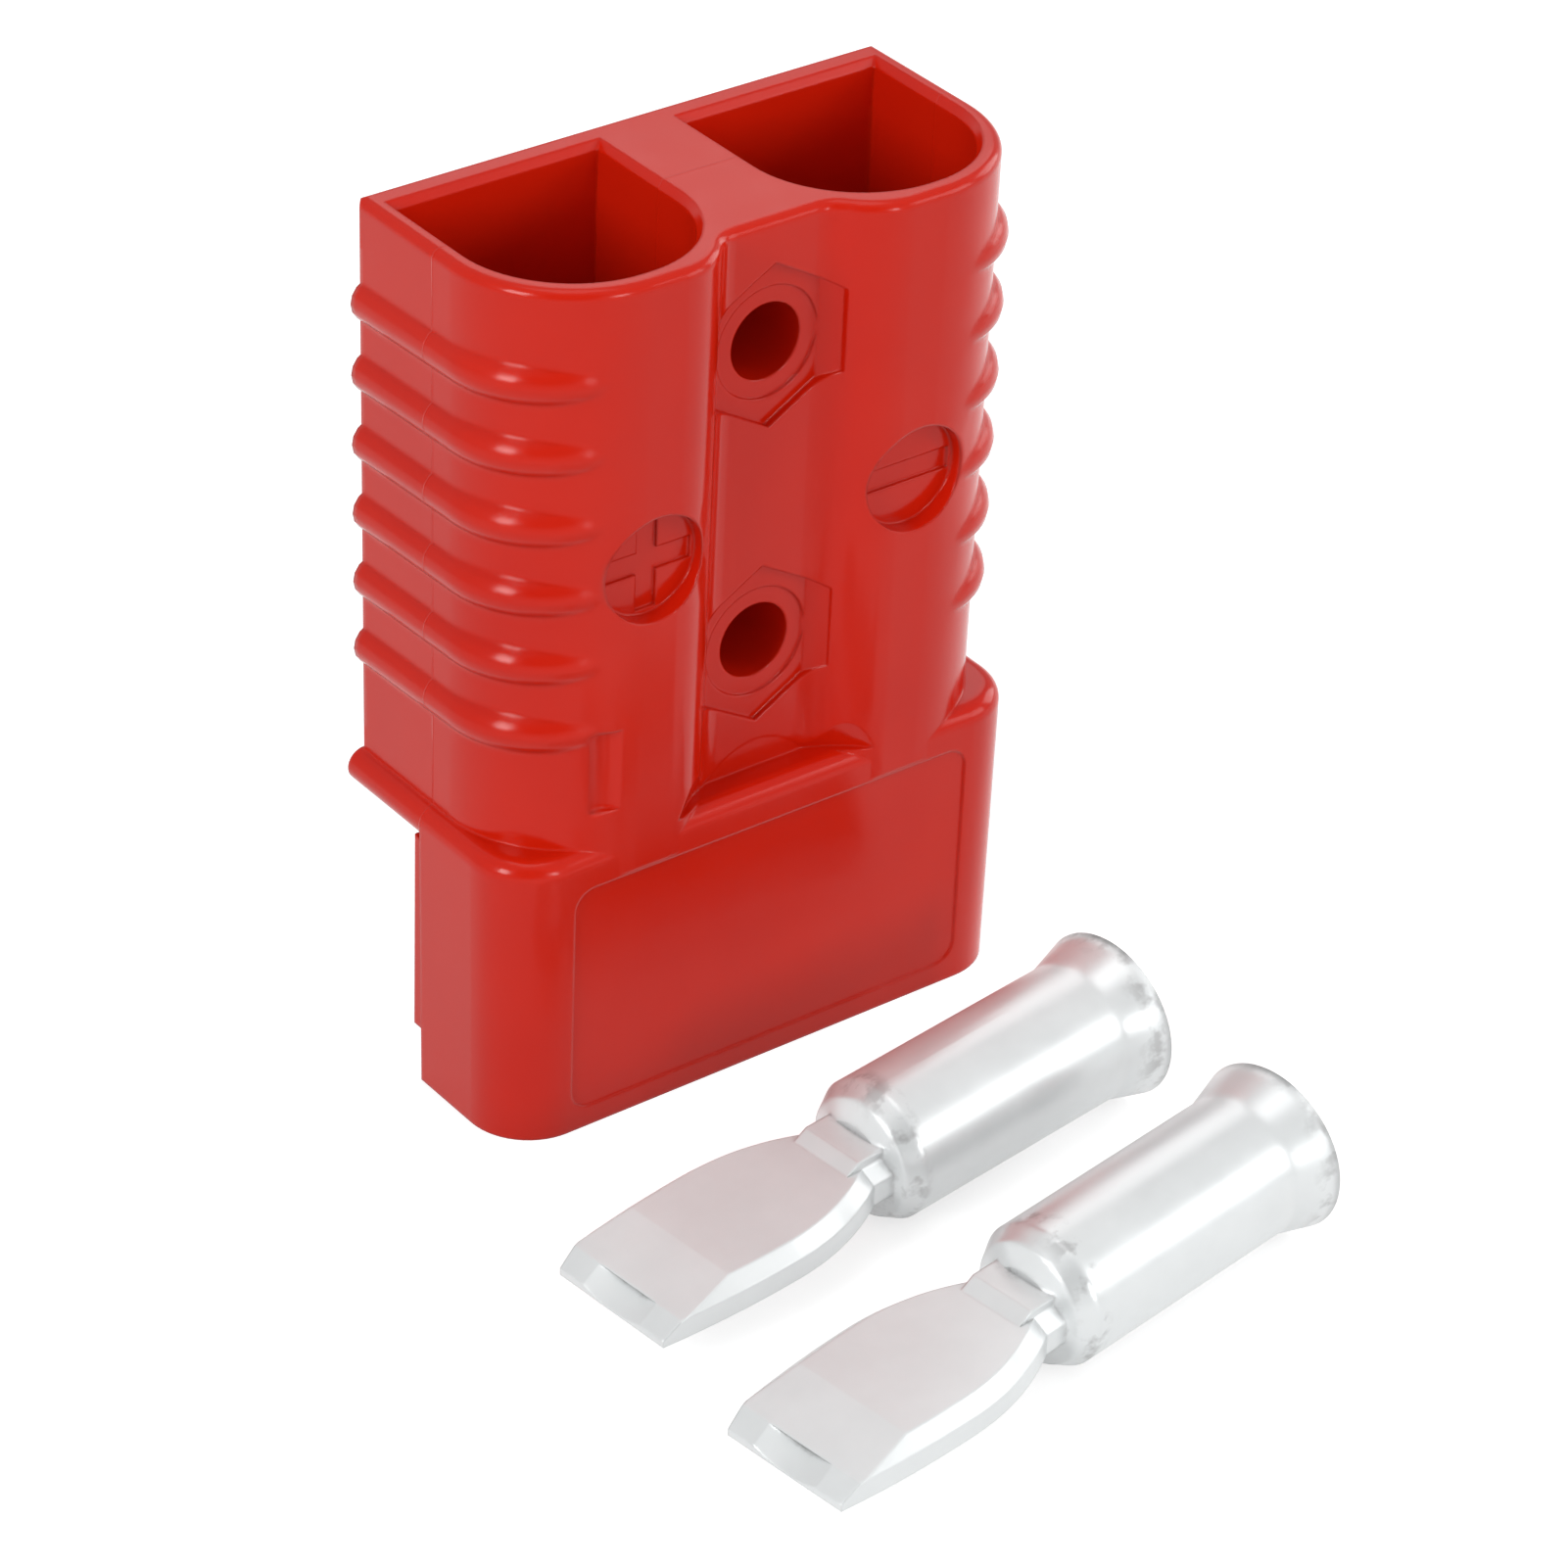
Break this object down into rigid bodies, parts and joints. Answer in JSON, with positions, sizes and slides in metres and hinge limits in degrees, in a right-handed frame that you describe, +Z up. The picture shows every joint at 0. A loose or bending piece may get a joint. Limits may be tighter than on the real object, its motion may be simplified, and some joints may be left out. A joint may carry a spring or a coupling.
{
  "type": "power connector",
  "caption": "Flat two-pole genderless battery connector housing with D-shaped cable entries, grip ribs and a mating hood, and its crimp contacts lying loose in front.",
  "frame": {"origin": "middle of the mating end's lower edge, at the mould's parting plane, between the two poles", "axes": "+X across the poles, +Y towards the flat back, +Z up from the mating end to the cable end"},
  "size_m": [0.0636, 0.0799, 0.0793],
  "materials": {
    "housing_plastic": "moulded, semi-gloss",
    "contact_metal": "silver-plated copper, satin",
    "spring_steel": "stainless, satin"
  },
  "bodies": {
    "root": {"housing": "housing_plastic", "contact_positive": "contact_metal", "contact_negative": "contact_metal", "retention_spring_positive": "spring_steel", "retention_spring_negative": "spring_steel"}
  },
  "joints": []
}
